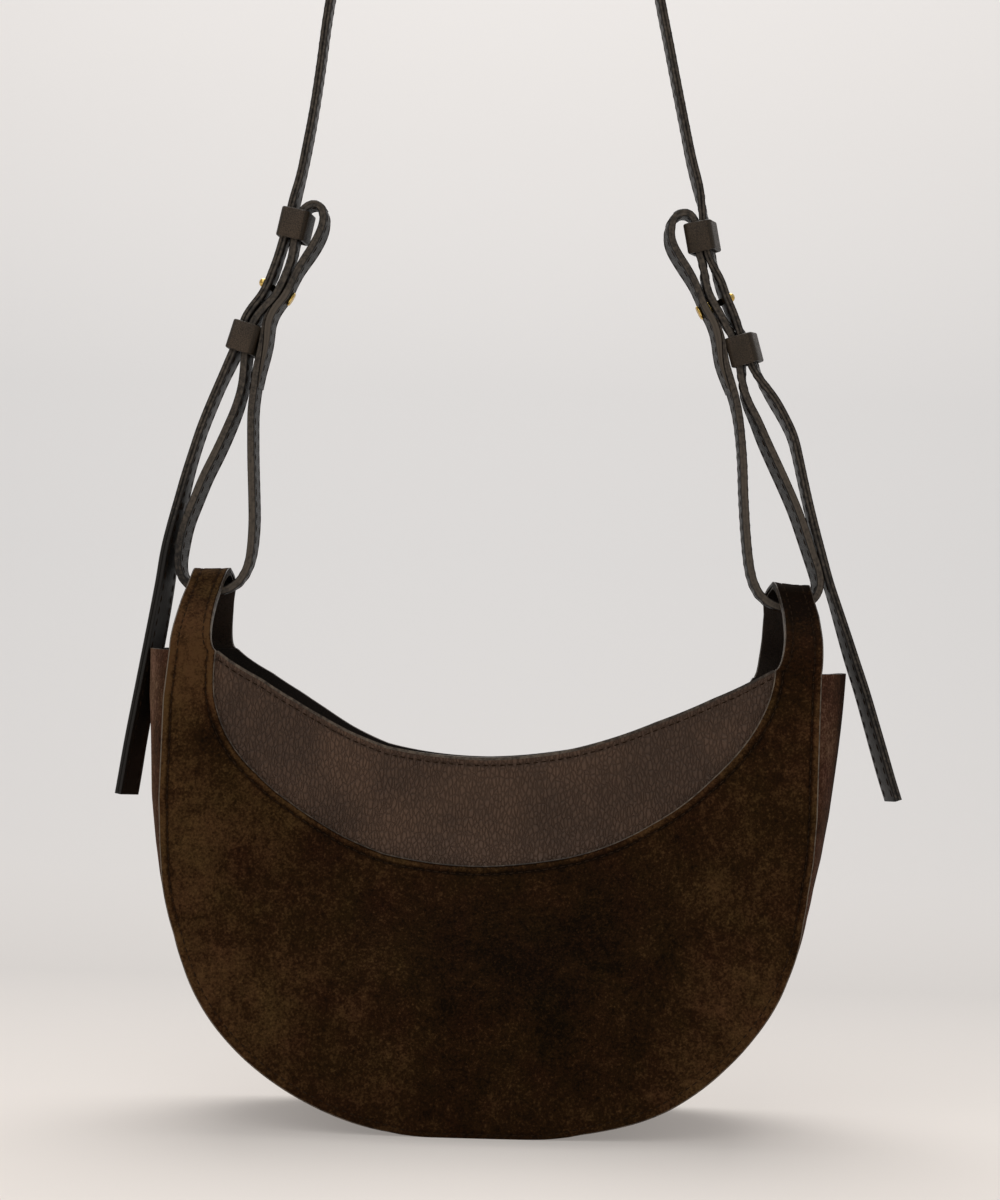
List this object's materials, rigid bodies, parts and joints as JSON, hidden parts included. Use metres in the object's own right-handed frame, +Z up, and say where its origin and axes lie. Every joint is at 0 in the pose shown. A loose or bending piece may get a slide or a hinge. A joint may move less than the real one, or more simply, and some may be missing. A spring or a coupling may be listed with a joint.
{
  "type": "half moon shoulder bag",
  "caption": "Half moon suede shoulder bag with a bowed gusset, smooth leather yokes, eared link straps, keepers, studs and one long adjustable strap.",
  "frame": {"origin": "middle of the flat bottom on which the bag stands", "axes": "+X to the right of the front, +Y to the back, +Z up through the strap"},
  "size_m": [0.2882, 0.081, 0.516],
  "materials": {
    "suede": "brushed suede with a mottled nap",
    "gusset_suede": "brushed suede, slightly redder",
    "yoke_leather": "pebbled smooth leather, satin",
    "facing_leather": "plain matt leather",
    "lining_cloth": "fine cotton lining",
    "strap_leather": "smooth leather with painted edges",
    "keeper_leather": "smooth leather, satin",
    "stud_brass": "polished pale brass",
    "snap_brass": "pressed brass",
    "magnet": "plain sintered magnet",
    "washer_steel": "pressed steel"
  },
  "bodies": {
    "bag": {"front_panel": "suede", "back_panel": "suede", "gusset": "gusset_suede", "front_yoke": "yoke_leather", "back_yoke": "yoke_leather", "ear_facing_left": "facing_leather", "ear_facing_right": "facing_leather", "front_lining": "lining_cloth", "back_lining": "lining_cloth", "gusset_lining": "lining_cloth", "snap_socket": "snap_brass", "snap_magnet": "magnet", "snap_plate": "snap_brass", "snap_washers": "washer_steel"},
    "strap": {"strap_outer_layer": "strap_leather", "strap_inner_layer": "strap_leather", "link_strap_left": "strap_leather", "link_strap_right": "strap_leather", "stud_knob_left": "stud_brass", "stud_knob_right": "stud_brass", "stud_screw_left": "stud_brass", "stud_screw_right": "stud_brass"},
    "upper_left_keeper": {"keeper_upper_left": "keeper_leather"},
    "upper_right_keeper": {"keeper_upper_right": "keeper_leather"},
    "lower_left_keeper": {"keeper_lower_left": "keeper_leather"},
    "lower_right_keeper": {"keeper_lower_right": "keeper_leather"}
  },
  "joints": [
    {"name": "strap_swing", "type": "hinge", "parent": "bag", "child": "strap", "pos_m": [0, 0, 0.1921], "axis": [1, 0, 0], "range_deg": [-75, 75]},
    {"name": "upper_left_keeper_slide", "type": "slide", "parent": "strap", "child": "upper_left_keeper", "axis": [0.2036, 0, 0.9791], "range_m": [-0.003, 0]},
    {"name": "upper_right_keeper_slide", "type": "slide", "parent": "strap", "child": "upper_right_keeper", "axis": [-0.2036, 0, 0.9791], "range_m": [-0.003, 0]},
    {"name": "lower_left_keeper_slide", "type": "slide", "parent": "strap", "child": "lower_left_keeper", "axis": [0.2775, 0, 0.9607], "range_m": [-0.002, 0.002]},
    {"name": "lower_right_keeper_slide", "type": "slide", "parent": "strap", "child": "lower_right_keeper", "axis": [-0.2775, 0, 0.9607], "range_m": [-0.002, 0.002]}
  ]
}
